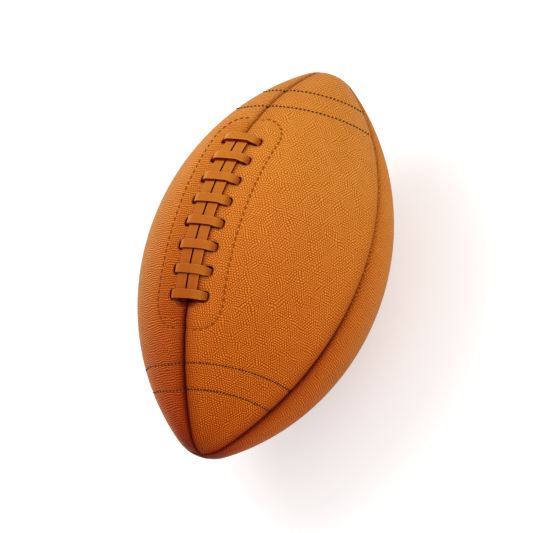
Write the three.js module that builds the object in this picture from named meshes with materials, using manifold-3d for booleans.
// An american football at its real size, in millimetres: four leather panels sewn into a cover,
// laced shut over a rubber bladder. X runs from tip to tip, Z points up out of the lacing,
// and the origin is on the ground under the middle of the ball, which lies on the seam opposite.
import * as THREE from 'three';
import { mergeVertices } from 'three/addons/utils/BufferGeometryUtils.js';
import Module from 'manifold-3d';

const wasm = await Module();
wasm.setup();

// Overall form
const LENGTH = 288; // tip to tip
const GIRTH_DIAMETER = 164.4; // across the middle
const NOSE_RADIUS = 28.6; // rounding of each tip
const TIP_OPENING = 1.6; // across the pinhole where the four panel points meet

// Layers, from the outside in
const LEATHER = 2.6; // panel leather
const LINING = 1; // cloth behind each panel
const FACING = 1.6; // leather patch behind the lace holes
const TONGUE = 1.6; // guard between lacing and bladder
const BLADDER_WALL = 1;
const BLADDER_SLOPE = 3.5; // width of the ramp up from each dent in the bladder
const CLEARANCE = 0.3; // between faces that lie against each other

// Seams
const SEAM_ROLL_WIDTH = 6; // strip of leather that rolls over into the seam
const SEAM_ROLL_DEPTH = 2.2; // how far the roll dips under the ball's surface
const SEAM_ALLOWANCE = 5.2; // straight edge turned in below the roll
const SEAM_TAPER_RADIUS = 40; // the roll shrinks with the ball where its radius is under this
const HOLLOW_END = 2; // room between the turned-in edges where the hollow stops near a tip
const SEAM_THREAD = 0.7; // thread diameter
const SEAM_THREAD_INSET = 0.7; // from the edge of the allowance to the middle of the thread

// Lacing
const LACE_BARS = 8;
const LACE_PITCH = 16.6;
const LACE_SPREAD = 24.8; // between the two sides where the lace dives into its holes
const LACE_OFFSET = -2.2; // the lace is pulled off the middle, away from +Y
const LACE_WIDTH = 6;
const LACE_THICKNESS = 2.2;
const LACE_BEND = 1.4; // radius of the middle of the lace where it turns into a hole
const LACE_SLOPE = 0.5; // fall of a bar from the edge of the strips to its bend
const LACE_TAIL = 8; // tucked end inside the ball
const STRIP_WIDTH = 8; // the two lengthwise strips under the bars
const STRIP_GAP = 1.1;
const STRIP_END_OFFSET = 1; // from the middle of an end bar out to where the strips dive
const HOLE_CLEARANCE = 0.8; // around the lace in its holes
const HOLE_SLACK = 2.7; // more room on the +Y side of the lace, which is pulled the other way
const SLIT_MARGIN = 2; // open slit beyond the strips' end holes

// Facing and tongue, measured from the lacing
const FACING_END = 25; // beyond the last lace holes
const FACING_SIDE = 18.1; // beyond half the spread
const FACING_CORNER = 22;
const TONGUE_END = 12;
const TONGUE_SIDE = 9;
const TONGUE_CORNER = 16;

// Stitching that shows
const STITCH_THREAD = 0.9; // thread diameter
const FACING_STITCH_INSET = 3; // from the edge of the facing
const HEAD_STRIPE_FROM_TIP = 29.6; // outer ring of stitches at the +X tip
const HEAD_STRIPE_WIDTH = 17.7; // from the outer ring to the inner one
const TAIL_STRIPE_FROM_TIP = 31.3;
const TAIL_STRIPE_WIDTH = 15.4;
const STRIPE_LEAN = THREE.MathUtils.degToRad(5.8); // the rings sit a little off square
const STRIPE_LEAN_TURN = THREE.MathUtils.degToRad(217.5); // the side that leans to +X
const STRIPE_LIFT = 7; // the rings rise to +X again towards the seam at +Y
const STRIPE_LIFT_START = THREE.MathUtils.degToRad(80);
const STRIPE_LIFT_END = THREE.MathUtils.degToRad(10);

// Inflation valve
const VALVE_TURN = THREE.MathUtils.degToRad(292); // beside the seam opposite the lacing
const VALVE_STEM_RADIUS = 4;
const VALVE_BORE_RADIUS = 2.4;
const VALVE_RECESS = 0.8; // of the stem's face below the leather
const VALVE_FLANGE_RADIUS = 7;
const VALVE_FLANGE = 1.4;
const VALVE_POCKET_RADIUS = 4.6;
const VALVE_DEPTH = 16; // from the leather to the closed end of the pocket
const VALVE_FLOOR = 2;
const NEEDLE_HOLE_RADIUS = 1;
const NEEDLE_MOUTH_RADIUS = 1.6;
const NEEDLE_MOUTH_DEPTH = 1.2;
const NEEDLE_HOLE_DEPTH = 6;

// Facets
const WELD = 1e-4; // points closer than this are one
const CUT_MARGIN = 1; // how far a cut runs past what it cuts
const EDGE_LIMIT = 0.9; // share of a step or of half a quarter that an edge may take near a tip
const BELLY_STEPS = 11; // odd, so that a flat band lies at the middle of the ball
const NOSE_STEPS = 3;
const PANEL_STEPS = 7; // across each quarter
const ROLL_STEPS = 3;
const CORNER_STEPS = 3;
const ROUND_STEPS = 16;
const STRIP_STEPS = 9;
const STRIPE_STEPS = 9;
const BLADDER_STEPS = 4; // across the free middle of each quarter

// The meridian: one belly arc across the middle, and a nose arc that meets it smoothly at each tip.
const QUARTER = Math.PI / 2;
const EIGHTH = Math.PI / 4;
const halfLength = LENGTH / 2;
const midRadius = GIRTH_DIAMETER / 2;
const noseCentre = halfLength - NOSE_RADIUS;
const bellyRadius =
  (halfLength ** 2 + midRadius ** 2 - 2 * halfLength * NOSE_RADIUS) / (2 * (midRadius - NOSE_RADIUS));
const bellyDrop = bellyRadius - midRadius;
const noseTilt = Math.atan2(noseCentre, bellyDrop);

// A place on the meridian is named by the tilt of the surface there, so a layer at any depth is the
// same pair of arcs with smaller radii. It gives the distance along the ball and out from its axis.
function meridian(tilt, depth) {
  const size = Math.abs(tilt);
  if (size <= noseTilt) {
    const radius = bellyRadius - depth;
    return { along: radius * Math.sin(tilt), out: radius * Math.cos(tilt) - bellyDrop };
  }
  const radius = NOSE_RADIUS - depth;
  return { along: Math.sign(tilt) * (noseCentre + radius * Math.sin(size)), out: radius * Math.cos(size) };
}

function tiltAlong(along) {
  return Math.asin(along / bellyRadius);
}

function tiltWhereOut(out, depth) {
  const onNose = out / (NOSE_RADIUS - depth);
  if (onNose < Math.cos(noseTilt)) return Math.acos(onNose);
  return Math.acos((out + bellyDrop) / (bellyRadius - depth));
}

// The turn around the axis starts at +Y and passes the lacing at a quarter turn.
function onBall(tilt, turn, depth) {
  const { along, out } = meridian(tilt, depth);
  return new THREE.Vector3(along, out * Math.cos(turn), out * Math.sin(turn));
}

// Every layer of the cover shares these lines, so its flat faces stay parallel to the next layer's.
const tipTilt = tiltWhereOut(TIP_OPENING / 2, 0);
const turnStep = QUARTER / PANEL_STEPS;
const tiltLines = [];
for (let step = NOSE_STEPS; step > 0; step -= 1) {
  tiltLines.push(-noseTilt - ((tipTilt - noseTilt) * step) / NOSE_STEPS);
}
for (let step = 0; step <= BELLY_STEPS; step += 1) {
  tiltLines.push(noseTilt * ((2 * step) / BELLY_STEPS - 1));
}
for (let step = 1; step <= NOSE_STEPS; step += 1) {
  tiltLines.push(noseTilt + ((tipTilt - noseTilt) * step) / NOSE_STEPS);
}

function skin(tilt, turn, depth) {
  const above = tiltLines.findIndex((line) => line > tilt);
  const low = above < 0 ? tiltLines.length - 2 : Math.max(above - 1, 0);
  const tiltShare = (tilt - tiltLines[low]) / (tiltLines[low + 1] - tiltLines[low]);
  const turnLow = Math.floor(turn / turnStep) * turnStep;
  const turnShare = (turn - turnLow) / turnStep;
  const edge = (lineTilt) =>
    onBall(lineTilt, turnLow, depth).lerp(onBall(lineTilt, turnLow + turnStep, depth), turnShare);
  return edge(tiltLines[low]).lerp(edge(tiltLines[low + 1]), tiltShare);
}

// The layers' own tilts: the shared lines inside a limit, and the limit itself at both ends.
function tiltsWithin(limit) {
  return [-limit, ...tiltLines.filter((tilt) => Math.abs(tilt) < limit), limit];
}

// The turn from a seam's plane to a point that lies a given distance beside it.
function besideSeam(tilt, depth, distance) {
  return Math.asin(Math.min(1, distance / meridian(tilt, depth).out));
}

const gridTurns = Array.from({ length: PANEL_STEPS - 1 }, (_, step) => (step + 1) * turnStep);

// A closed skin through rings of points, with flat ends.
function loft(rings) {
  const count = rings[0].length;
  const faces = [];
  for (let ring = 0; ring + 1 < rings.length; ring += 1) {
    for (let point = 0; point < count; point += 1) {
      const here = ring * count + point;
      const next = ring * count + ((point + 1) % count);
      faces.push(here, next, next + count, here, next + count, here + count);
    }
  }
  const end = (rings.length - 1) * count;
  for (let low = 0, high = count - 1; high - low > 1; low += 1, high -= 1) {
    faces.push(low + 1, low, high, end + low, end + low + 1, end + high);
    if (high - low > 2) {
      faces.push(high - 1, low + 1, high, end + low + 1, end + high - 1, end + high);
    }
  }
  const points = rings.flat();
  let volume = 0;
  for (let face = 0; face < faces.length; face += 3) {
    const [a, b, c] = [0, 1, 2].map((corner) => points[faces[face + corner]]);
    volume += a.dot(b.clone().cross(c));
  }
  if (volume < 0) faces.reverse();
  const geometry = new THREE.BufferGeometry();
  const places = points.flatMap((point) => point.toArray());
  geometry.setAttribute('position', new THREE.Float32BufferAttribute(places, 3));
  geometry.setIndex(faces);
  return geometry;
}

function solid(geometry) {
  const bare = geometry.clone();
  bare.deleteAttribute('normal');
  bare.deleteAttribute('uv');
  const merged = mergeVertices(bare, WELD);
  return new wasm.Manifold(
    new wasm.Mesh({
      numProp: 3,
      vertProperties: new Float32Array(merged.attributes.position.array),
      triVerts: new Uint32Array(merged.index.array),
    }),
  );
}

function skinOf(body) {
  const mesh = body.getMesh();
  const geometry = new THREE.BufferGeometry();
  geometry.setAttribute('position', new THREE.Float32BufferAttribute(mesh.vertProperties, 3));
  geometry.setIndex(Array.from(mesh.triVerts));
  return geometry;
}

function cut(geometry, tools) {
  let body = solid(geometry);
  for (const tool of tools) body = body.subtract(solid(tool));
  return skinOf(body);
}

// A frame on the ball: X along the meridian, Y across it, Z outwards.
function ballFrame(tilt, turn, origin) {
  const outward = new THREE.Vector3(
    Math.sin(tilt),
    Math.cos(tilt) * Math.cos(turn),
    Math.cos(tilt) * Math.sin(turn),
  );
  const along = new THREE.Vector3(
    Math.cos(tilt),
    -Math.sin(tilt) * Math.cos(turn),
    -Math.sin(tilt) * Math.sin(turn),
  );
  const across = outward.clone().cross(along);
  const matrix = new THREE.Matrix4().makeBasis(along, across, outward).setPosition(origin);
  return { along, across, outward, matrix };
}

const ball = new THREE.Group();

function addPiece(name, geometry, finish) {
  const flat = geometry.index ? geometry.toNonIndexed() : geometry;
  flat.computeVertexNormals();
  const mesh = new THREE.Mesh(flat, new THREE.MeshStandardMaterial(finish));
  mesh.name = name;
  ball.add(mesh);
}

const PANEL_FINISH = { color: 0xc2691f, roughness: 0.62, metalness: 0 };
const LACE_FINISH = { color: 0xb9672d, roughness: 0.7, metalness: 0 };
const LINING_FINISH = { color: 0xd8cbb0, roughness: 0.95, metalness: 0 };
const FACING_FINISH = { color: 0x9a5a28, roughness: 0.85, metalness: 0 };
const RUBBER_FINISH = { color: 0x2b2826, roughness: 0.8, metalness: 0 };
const STRIPE_FINISH = { color: 0x1a0f0a, roughness: 0.8, metalness: 0 };
const STITCH_FINISH = { color: 0x7a3c14, roughness: 0.8, metalness: 0 };
const SEAM_THREAD_FINISH = { color: 0x6b2e12, roughness: 0.8, metalness: 0 };

// Depths of the layers under the ball's surface
const allowanceDepth = SEAM_ROLL_DEPTH + SEAM_ALLOWANCE;
const liningTop = LEATHER + CLEARANCE;
const liningBottom = liningTop + LINING;
const facingTop = liningBottom + CLEARANCE;
const facingBottom = facingTop + FACING;
const laceInside = facingBottom + 2 * CLEARANCE + LACE_THICKNESS / 2;
const tongueTop = laceInside + LACE_THICKNESS / 2 + 2 * CLEARANCE;
const tongueBottom = tongueTop + TONGUE;
const bladderTop = liningBottom + CLEARANCE;

// Distances from a seam's plane
const seamFace = CLEARANCE / 2;
const allowanceBack = seamFace + LEATHER;
const liningEdge = allowanceBack + CLEARANCE;
const seamThreadLine = liningEdge + SEAM_THREAD / 2;
const bladderGroove = liningEdge + SEAM_THREAD + CLEARANCE;

// The hollow of a panel stops where its two turned-in edges come together near the tip.
const hollowDepth = allowanceDepth + CUT_MARGIN;
const hollowTilt = tiltWhereOut((allowanceBack + HOLLOW_END / 2) / Math.sin(EIGHTH), hollowDepth);
const tipClearance = CLEARANCE / (NOSE_RADIUS - hollowDepth);

// Places of the lacing
const laceHalf = ((LACE_BARS - 1) * LACE_PITCH) / 2;
const laceReach = LACE_SPREAD / 2;
const stripLine = (STRIP_WIDTH + STRIP_GAP) / 2;
const stripEdge = STRIP_WIDTH + STRIP_GAP / 2;
const stripEnd = laceHalf + STRIP_END_OFFSET;
const slitHalf = stripEnd + LACE_THICKNESS / 2 + HOLE_CLEARANCE + SLIT_MARGIN;
const facingHalf = laceHalf + FACING_END;
const facingSide = laceReach + FACING_SIDE;
const barPlaces = Array.from({ length: LACE_BARS }, (_, bar) => laceHalf - bar * LACE_PITCH);

function laceTurn(tilt, side) {
  return QUARTER - side / meridian(tilt, 0).out;
}

// Panels: a quarter of the ball whose edges roll over and turn in, hollowed to the leather's thickness.
function panelRing(tilt, start) {
  const taper = Math.min(1, meridian(tilt, 0).out / SEAM_TAPER_RADIUS);
  const edge = [[0, allowanceDepth]];
  for (let step = 0; step <= ROLL_STEPS; step += 1) {
    const swing = (QUARTER * step) / ROLL_STEPS;
    const beside = SEAM_ROLL_WIDTH * taper * (1 - Math.cos(swing));
    const depth = SEAM_ROLL_DEPTH * taper * (1 - Math.sin(swing));
    edge.push([beside, depth]);
  }
  const rise = edge.map(([beside, depth]) => [
    Math.min(besideSeam(tilt, depth, seamFace + beside), turnStep * EDGE_LIMIT),
    depth,
  ]);
  const fall = rise.map(([turn, depth]) => [QUARTER - turn, depth]).reverse();
  const outside = gridTurns.map((turn) => [turn, 0]);
  const inside = gridTurns.map((turn) => [turn, allowanceDepth]).reverse();
  return [...rise, ...outside, ...fall, ...inside].map(([turn, depth]) => skin(tilt, start + turn, depth));
}

// One layer across a quarter, between two depths and a given distance from both seams.
function layerRing(tilt, start, top, bottom, beside) {
  const row = (depth) => {
    const edge = besideSeam(tilt, depth, beside);
    const inner = gridTurns.map((turn) => THREE.MathUtils.clamp(turn, edge, QUARTER - edge));
    return [edge, ...inner, QUARTER - edge].map((turn) => skin(tilt, start + turn, depth));
  };
  return [...row(top), ...row(bottom).reverse()];
}

function panelHollow(start) {
  const ring = (tilt) => layerRing(tilt, start, LEATHER, hollowDepth, allowanceBack);
  return loft(tiltsWithin(hollowTilt).map(ring));
}

// The turned-in edges are trimmed away along the lacing slit, where the lace passes underneath.
function slitRelief() {
  const reach = allowanceBack + CLEARANCE;
  const ring = (tilt) => {
    const place = (side, depth) => skin(tilt, QUARTER + side / meridian(tilt, depth).out, depth);
    const row = (depth) => [-reach, 0, reach].map((side) => place(side, depth));
    return [...row(LEATHER), ...row(hollowDepth).reverse()];
  };
  return loft(tiltsWithin(tiltAlong(slitHalf)).map(ring));
}

// A straight-sided hole through the layers, square to the ball's surface.
function slot(along, side, lengthwise, crosswise) {
  const tilt = tiltAlong(along);
  const turn = laceTurn(tilt, side);
  const depth = 2 * (tongueTop + LACE_THICKNESS);
  const box = new THREE.BoxGeometry(lengthwise, crosswise, depth);
  return box.applyMatrix4(ballFrame(tilt, turn, onBall(tilt, turn, 0)).matrix);
}

function laceLine(side) {
  return LACE_OFFSET + side * laceReach;
}

const laceHoles = barPlaces.flatMap((along) =>
  [1, -1].map((side) => ({
    side,
    tool: slot(
      along,
      laceLine(side) + HOLE_SLACK / 2,
      LACE_WIDTH + 2 * HOLE_CLEARANCE,
      LACE_THICKNESS + 2 * HOLE_CLEARANCE + HOLE_SLACK,
    ),
  })),
);
const stripHoles = [stripEnd, -stripEnd].map((along) =>
  slot(along, 0, LACE_THICKNESS + 2 * HOLE_CLEARANCE, 2 * (stripEdge + HOLE_CLEARANCE)),
);

function lacingTools(side) {
  return [...laceHoles.filter((hole) => hole.side === side).map((hole) => hole.tool), ...stripHoles];
}

// The valve stands square to the leather at the middle of the ball's length.
const valveFoot = skin(0, VALVE_TURN, 0);
const valveFrame = ballFrame(0, VALVE_TURN, valveFoot);

function valveHole(radius) {
  const tool = new THREE.CylinderGeometry(radius, radius, 2 * VALVE_DEPTH, ROUND_STEPS);
  return tool.rotateX(QUARTER).applyMatrix4(valveFrame.matrix);
}

const quarters = [
  { name: 'lace_left', start: 0, tools: lacingTools(1) },
  { name: 'lace_right', start: QUARTER, tools: lacingTools(-1) },
  { name: 'back_right', start: 2 * QUARTER, tools: [] },
  { name: 'back_left', start: 3 * QUARTER, tools: [valveHole(VALVE_STEM_RADIUS + CLEARANCE)] },
];

for (const { name, start, tools } of quarters) {
  const panel = loft(tiltLines.map((tilt) => panelRing(tilt, start)));
  const slit = name.startsWith('lace') ? [slitRelief()] : [];
  addPiece(`panel_${name}`, cut(panel, [panelHollow(start), ...slit, ...tools]), PANEL_FINISH);

  const liningRing = (tilt) => layerRing(tilt, start, liningTop, liningBottom, liningEdge);
  const lining = loft(tiltsWithin(hollowTilt - tipClearance).map(liningRing));
  addPiece(`lining_${name}`, tools.length ? cut(lining, tools) : lining, LINING_FINISH);
}

// A patch with rounded ends that follows the layers: its half width at each place along the ball.
function patchPlaces(half, side, corner) {
  const ends = Array.from({ length: CORNER_STEPS + 1 }, (_, step) => {
    const swing = (QUARTER * step) / CORNER_STEPS;
    return [half - corner + corner * Math.sin(swing), side - corner + corner * Math.cos(swing)];
  });
  const middle = tiltLines
    .map((tilt) => meridian(tilt, 0).along)
    .filter((along) => Math.abs(along) < half - corner)
    .map((along) => [along, side]);
  const mirrored = ends.map(([along, reach]) => [-along, reach]).reverse();
  return [...mirrored, ...middle, ...ends];
}

// The facing: one leather patch on each side of the slit, with the lace holes cut through it.
function facing(side) {
  const rings = patchPlaces(facingHalf, facingSide, FACING_CORNER).map(([along, reach]) => {
    const tilt = tiltAlong(along);
    const row = (depth) => {
      const near = besideSeam(tilt, depth, liningEdge);
      const far = reach / meridian(tilt, 0).out;
      const fold = turnStep < far && turnStep > near ? turnStep : (near + far) / 2;
      return [near, fold, far].map((turn) => skin(tilt, QUARTER - side * turn, depth));
    };
    return [...row(facingTop), ...row(facingBottom).reverse()];
  });
  return cut(loft(rings), lacingTools(side));
}

addPiece('lace_facing_left', facing(1), FACING_FINISH);
addPiece('lace_facing_right', facing(-1), FACING_FINISH);

// The tongue lies under the lace's inner runs and keeps them off the bladder.
function tongue() {
  const places = patchPlaces(laceHalf + TONGUE_END, laceReach + TONGUE_SIDE, TONGUE_CORNER);
  const rings = places.map(([along, reach]) => {
    const tilt = tiltAlong(along);
    const far = reach / meridian(tilt, 0).out;
    const fold = Math.min(turnStep, far / 2);
    const row = (depth) => [-far, -fold, 0, fold, far].map((turn) => skin(tilt, QUARTER + turn, depth));
    return [...row(tongueTop), ...row(tongueBottom).reverse()];
  });
  return loft(rings);
}

addPiece('lace_tongue', tongue(), FACING_FINISH);

// A flat strap through stations, each a point and the direction of the strap's width there.
function strap(stations, width, thickness) {
  const rings = stations.map(({ point, across }, place) => {
    const before = stations[Math.max(place - 1, 0)].point;
    const after = stations[Math.min(place + 1, stations.length - 1)].point;
    const forward = after.clone().sub(before).normalize();
    const wide = across.clone().addScaledVector(forward, -across.dot(forward)).setLength(width / 2);
    const thick = forward.clone().cross(wide).setLength(thickness / 2);
    return [
      [1, 1],
      [-1, 1],
      [-1, -1],
      [1, -1],
    ].map(([w, t]) => point.clone().addScaledVector(wide, w).addScaledVector(thick, t));
  });
  return loft(rings);
}

// A station of the lacing. Outside it keeps off the round ball, inside it follows the layers,
// and its swing turns the width away from the ball's length.
function laceStation(along, side, depth, swing = 0) {
  const tilt = tiltAlong(along);
  const turn = laceTurn(tilt, side);
  const point = depth > 0 ? skin(tilt, turn, depth) : onBall(tilt, turn, depth);
  const frame = ballFrame(tilt, turn, point);
  const across = frame.along.multiplyScalar(Math.cos(swing)).addScaledVector(frame.across, Math.sin(swing));
  return { point, across };
}

// The lace crosses over the strips, dives through a hole and comes up on the other side of the next bar.
// A bar falls from the edge of the strips to a shoulder, and bends down into its hole there.
const barHeight = 2 * CLEARANCE + 1.5 * LACE_THICKNESS;
const bendShare = LACE_BEND * (1 - Math.SQRT1_2);

function laceEnd(along, side, swing) {
  const hole = laceLine(side);
  const inward = -side;
  const fall = LACE_SLOPE * (Math.abs(hole) - LACE_BEND - stripEdge);
  const shoulder = THREE.MathUtils.clamp(barHeight - fall, LACE_BEND, barHeight);
  return [
    laceStation(along, hole + inward * LACE_BEND, laceInside, swing / 2),
    laceStation(along, hole + inward * bendShare, laceInside - bendShare),
    laceStation(along, hole, laceInside - LACE_BEND),
    laceStation(along, hole, LACE_BEND - shoulder),
    laceStation(along, hole + inward * bendShare, bendShare - shoulder),
    laceStation(along, hole + inward * LACE_BEND, -shoulder),
    laceStation(along, side * stripEdge, -barHeight),
  ];
}

const crossing = Math.atan2(LACE_PITCH, LACE_SPREAD - 2 * LACE_BEND);
const tailReach = laceReach - LACE_BEND - LACE_TAIL;
const laceStations = [laceStation(laceHalf, LACE_OFFSET + tailReach, laceInside)];
barPlaces.forEach((along, bar) => {
  const first = bar === 0;
  const last = bar === LACE_BARS - 1;
  laceStations.push(...laceEnd(along, 1, first ? 0 : crossing));
  laceStations.push(laceStation(along, 0, -barHeight));
  laceStations.push(...laceEnd(along, -1, last ? 0 : crossing).reverse());
  if (!last) laceStations.push(laceStation(along - LACE_PITCH / 2, LACE_OFFSET, laceInside, crossing));
});
laceStations.push(laceStation(-laceHalf, LACE_OFFSET - tailReach, laceInside));
addPiece('lace', strap(laceStations, LACE_WIDTH, LACE_THICKNESS), LACE_FINISH);

// Two strips lie lengthwise under the bars, with both ends tucked in through the end holes.
const stripHeight = CLEARANCE + LACE_THICKNESS / 2;

function laceStrip(side) {
  const station = (along, depth) => {
    const { point } = laceStation(along, side * stripLine, depth);
    const tilt = tiltAlong(along);
    return { point, across: ballFrame(tilt, laceTurn(tilt, side * stripLine), point).across };
  };
  const end = [
    [stripEnd, facingBottom],
    [stripEnd, LACE_BEND - stripHeight],
    [stripEnd - bendShare, bendShare - stripHeight],
    [stripEnd - LACE_BEND, -stripHeight],
  ];
  const run = stripEnd - LACE_BEND;
  const middle = Array.from({ length: STRIP_STEPS - 1 }, (_, step) => [
    run * (1 - (2 * (step + 1)) / STRIP_STEPS),
    -stripHeight,
  ]);
  const far = end.map(([along, depth]) => [-along, depth]).reverse();
  const stations = [...end, ...middle, ...far].map(([along, depth]) => station(along, depth));
  return strap(stations, STRIP_WIDTH, LACE_THICKNESS);
}

addPiece('lace_strip_left', laceStrip(1), LACE_FINISH);
addPiece('lace_strip_right', laceStrip(-1), LACE_FINISH);

// The bladder fills the cover: it presses against the linings, dents over the turned-in edges
// of the seams, and lies back under the lacing.
const lacingGroove = facingSide + CUT_MARGIN;
const lacingReach = facingHalf + bellyRadius * ((2 * noseTilt) / BELLY_STEPS);

function bladderRing(tilt, extra, closing = false) {
  const behindLacing = Math.abs(meridian(tilt, 0).along) < lacingReach;
  const groove = (seam) => (seam === 1 && behindLacing ? lacingGroove : bladderGroove);
  const floor = (seam) => (seam === 1 && behindLacing ? tongueBottom : allowanceDepth) + CLEARANCE;
  const { out } = meridian(tilt, allowanceDepth);
  const ring = [];
  for (let seam = 0; seam < 4; seam += 1) {
    const next = (seam + 1) % 4;
    const turnsBeside = (place) =>
      [0, BLADDER_SLOPE].map((rise) => Math.min((groove(place) + rise) / out, EIGHTH * EDGE_LIMIT));
    const turns = turnsBeside(seam);
    const nextTurns = turnsBeside(next).map((turn) => QUARTER - turn);
    const between = Array.from({ length: BLADDER_STEPS - 1 }, (_, step) =>
      THREE.MathUtils.lerp(turns[1], nextTurns[1], (step + 1) / BLADDER_STEPS),
    );
    for (const turn of [...turns, ...between, nextTurns[1], nextTurns[0]]) {
      const press = (distance, seamIndex) => {
        const share = THREE.MathUtils.clamp((distance - groove(seamIndex)) / BLADDER_SLOPE, 0, 1);
        return THREE.MathUtils.lerp(floor(seamIndex), bladderTop, share);
      };
      const pressed = Math.max(press(turn * out, seam), press((QUARTER - turn) * out, next));
      ring.push(skin(tilt, seam * QUARTER + turn, (closing ? hollowDepth : pressed) + extra));
    }
  }
  return ring;
}

const bladderTilt = tiltWhereOut((bladderGroove + BLADDER_SLOPE / 2) / Math.sin(EIGHTH), hollowDepth);
const bladderEndTilt = hollowTilt - 2 * tipClearance;

function bladderSkin(extra) {
  const pullBack = extra / (NOSE_RADIUS - hollowDepth);
  const rings = tiltsWithin(bladderTilt - pullBack).map((tilt) => bladderRing(tilt, extra));
  const [tail, head] = [-1, 1].map((end) => bladderRing(end * (bladderEndTilt - pullBack), extra, true));
  return loft([tail, ...rings, head]);
}

const bladderOutside = bladderSkin(0);
const bladderInside = bladderSkin(BLADDER_WALL);
addPiece(
  'bladder',
  cut(bladderOutside, [bladderInside, valveHole(VALVE_STEM_RADIUS + CLEARANCE)]),
  RUBBER_FINISH,
);

// The valve: a rubber boot whose stem comes up through the cover, with a plug that takes the needle.
const flangeRim = [-1, 1].map((side) =>
  skin(0, VALVE_TURN + (side * VALVE_FLANGE_RADIUS) / midRadius, bladderTop + BLADDER_WALL)
    .sub(valveFoot)
    .dot(valveFrame.outward),
);
const bladderSag = midRadius * (1 - Math.cos(EIGHTH / BLADDER_STEPS));
const flangeTop = Math.min(...flangeRim) - bladderSag - CLEARANCE;

function lathe(profile) {
  const points = profile.map(([radius, height]) => new THREE.Vector2(radius, height));
  const turned = new THREE.LatheGeometry(points, ROUND_STEPS).rotateX(QUARTER);
  return skinOf(solid(turned.applyMatrix4(valveFrame.matrix)));
}

addPiece(
  'valve_boot',
  lathe([
    [0, -VALVE_DEPTH],
    [VALVE_POCKET_RADIUS, -VALVE_DEPTH],
    [VALVE_POCKET_RADIUS, flangeTop - VALVE_FLANGE],
    [VALVE_FLANGE_RADIUS, flangeTop - VALVE_FLANGE],
    [VALVE_FLANGE_RADIUS, flangeTop],
    [VALVE_STEM_RADIUS, flangeTop],
    [VALVE_STEM_RADIUS, -VALVE_RECESS],
    [VALVE_BORE_RADIUS, -VALVE_RECESS],
    [VALVE_BORE_RADIUS, VALVE_FLOOR - VALVE_DEPTH],
    [0, VALVE_FLOOR - VALVE_DEPTH],
  ]),
  RUBBER_FINISH,
);

const plugRadius = VALVE_BORE_RADIUS - CLEARANCE;
const plugTop = -VALVE_RECESS - CLEARANCE;
addPiece(
  'valve_plug',
  lathe([
    [0, VALVE_FLOOR + CLEARANCE - VALVE_DEPTH],
    [plugRadius, VALVE_FLOOR + CLEARANCE - VALVE_DEPTH],
    [plugRadius, plugTop],
    [NEEDLE_MOUTH_RADIUS, plugTop],
    [NEEDLE_HOLE_RADIUS, plugTop - NEEDLE_MOUTH_DEPTH],
    [NEEDLE_HOLE_RADIUS, plugTop - NEEDLE_HOLE_DEPTH],
    [0, plugTop - NEEDLE_HOLE_DEPTH],
  ]),
  RUBBER_FINISH,
);

// A round thread along points, each with the way out of the surface that it lies on.
function thread(stations, diameter) {
  const rings = stations.map(({ point, outward }, place) => {
    const before = stations[Math.max(place - 1, 0)].point;
    const after = stations[Math.min(place + 1, stations.length - 1)].point;
    const forward = after.clone().sub(before).normalize();
    const side = outward.clone().cross(forward).setLength(diameter / 2);
    const up = forward.clone().cross(side).setLength(diameter / 2);
    return [
      [1, 0],
      [0, 1],
      [-1, 0],
      [0, -1],
    ].map(([s, u]) => point.clone().addScaledVector(side, s).addScaledVector(up, u));
  });
  return loft(rings);
}

// Seam threads: a lockstitch has one thread on each side of the two turned-in edges.
const seamThreadDepth = allowanceDepth - SEAM_THREAD_INSET;
const seamThreadTilt = tiltWhereOut((2 * seamThreadLine) / Math.sin(EIGHTH), seamThreadDepth);
const slitTilt = tiltAlong(slitHalf + SLIT_MARGIN);
const seamRuns = [
  { name: 'left', turn: 0, from: -seamThreadTilt, to: seamThreadTilt },
  { name: 'right', turn: 2 * QUARTER, from: -seamThreadTilt, to: seamThreadTilt },
  { name: 'back', turn: 3 * QUARTER, from: -seamThreadTilt, to: seamThreadTilt },
  { name: 'lace_head', turn: QUARTER, from: slitTilt, to: seamThreadTilt },
  { name: 'lace_tail', turn: QUARTER, from: -seamThreadTilt, to: -slitTilt },
];

for (const { name, turn, from, to } of seamRuns) {
  for (const [layer, side] of [['needle', 1], ['bobbin', -1]]) {
    const tilts = [from, ...tiltLines.filter((tilt) => tilt > from && tilt < to), to];
    const stations = tilts.map((tilt) => {
      const place = turn + side * besideSeam(tilt, seamThreadDepth, seamThreadLine);
      const point = skin(tilt, place, seamThreadDepth);
      return { point, outward: ballFrame(tilt, place, point).outward };
    });
    addPiece(`seam_thread_${name}_${layer}`, thread(stations, SEAM_THREAD), SEAM_THREAD_FINISH);
  }
}

// Stitching that shows lies on the leather.
function stitchStation(tilt, turn) {
  const point = onBall(tilt, turn, -(CLEARANCE + STITCH_THREAD / 2));
  return { point, outward: ballFrame(tilt, turn, point).outward };
}

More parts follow.
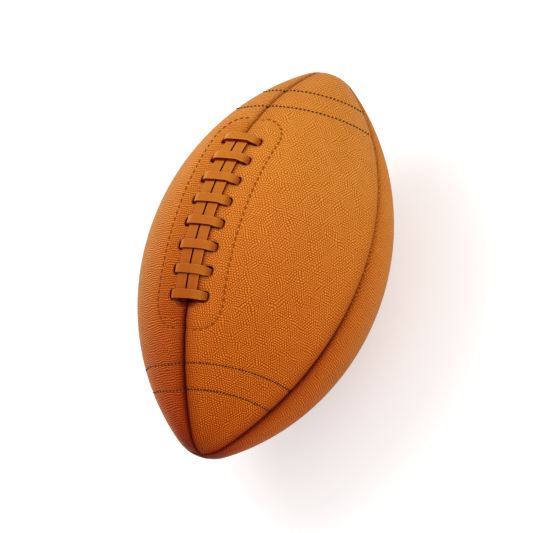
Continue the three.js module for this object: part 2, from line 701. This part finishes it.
// The facing's stitching runs round the outer edge of the patch, from seam to seam.
function facingStitch(side) {
  const half = facingHalf - FACING_STITCH_INSET;
  const reach = facingSide - FACING_STITCH_INSET;
  const places = patchPlaces(half, reach, FACING_CORNER - FACING_STITCH_INSET);
  const nearSeam = SEAM_ROLL_WIDTH + STITCH_THREAD;
  const stations = [[-half, nearSeam], ...places, [half, nearSeam]].map(([along, beside]) => {
    const tilt = tiltAlong(along);
    return stitchStation(tilt, laceTurn(tilt, side * beside));
  });
  return thread(stations, STITCH_THREAD);
}

addPiece('facing_stitch_left', facingStitch(1), STITCH_FINISH);
addPiece('facing_stitch_right', facingStitch(-1), STITCH_FINISH);

// A ring leans off square, and rises once more on its way to the seam at +Y.
function ringTilt(square, turn) {
  const { out } = meridian(tiltAlong(square), 0);
  const lean = Math.tan(STRIPE_LEAN) * out * Math.cos(turn - STRIPE_LEAN_TURN);
  const rise = THREE.MathUtils.smoothstep(-turn, -STRIPE_LIFT_START, -STRIPE_LIFT_END);
  return tiltAlong(square + lean + STRIPE_LIFT * rise);
}

// A stripe's stitching on one panel: out along one ring, along the far seam and back along the other.
function stripeStitch({ end, fromTip, width }, start, farTurn) {
  const rollTurn = (SEAM_ROLL_WIDTH + STITCH_THREAD) / SEAM_TAPER_RADIUS;
  const turns = Array.from({ length: STRIPE_STEPS + 1 }, (_, step) =>
    THREE.MathUtils.lerp(start + rollTurn, start + QUARTER - rollTurn, step / STRIPE_STEPS),
  );
  if (farTurn === start) turns.reverse();
  const ring = (inset) => {
    const square = end * (halfLength - inset);
    return turns.map((turn) => stitchStation(ringTilt(square, turn), turn));
  };
  const outer = ring(fromTip);
  const inner = ring(fromTip + width);
  return thread([...outer, ...inner.reverse()], STITCH_THREAD);
}

const stripes = [
  { name: 'head', end: 1, fromTip: HEAD_STRIPE_FROM_TIP, width: HEAD_STRIPE_WIDTH },
  { name: 'tail', end: -1, fromTip: TAIL_STRIPE_FROM_TIP, width: TAIL_STRIPE_WIDTH },
];
for (const stripe of stripes) {
  addPiece(`stripe_stitch_${stripe.name}_left`, stripeStitch(stripe, 0, 0), STRIPE_FINISH);
  addPiece(`stripe_stitch_${stripe.name}_right`, stripeStitch(stripe, QUARTER, 2 * QUARTER), STRIPE_FINISH);
}

// The ball lies on the ground.
ball.position.z = -new THREE.Box3().setFromObject(ball).min.z;

export default ball;
